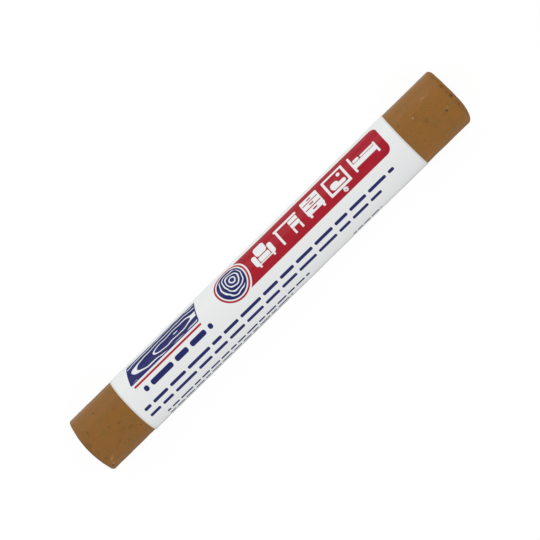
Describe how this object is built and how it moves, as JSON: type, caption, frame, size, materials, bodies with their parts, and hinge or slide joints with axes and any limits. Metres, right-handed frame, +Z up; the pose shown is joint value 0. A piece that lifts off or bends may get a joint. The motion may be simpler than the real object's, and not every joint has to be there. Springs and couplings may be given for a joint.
{
  "type": "furniture repair wax stick",
  "caption": "Short round stick of brown repair wax with a crowned end and a worn rubbing end, wrapped round its middle in a lapped printed label.",
  "frame": {"origin": "under the middle of the stick's length, on the line where the label rests on the surface", "axes": "+X along the stick towards the worn rubbing end, +Z up from the surface that it lies on, +Y the side with the label's lap"},
  "size_m": [0.0888, 0.0116, 0.0116],
  "materials": {
    "wax": "satin",
    "adhesive": "satin",
    "label": "satin"
  },
  "bodies": {
    "root": {"wax_stick": "wax", "wrap_adhesive": "adhesive", "label_film": "label"}
  },
  "joints": []
}
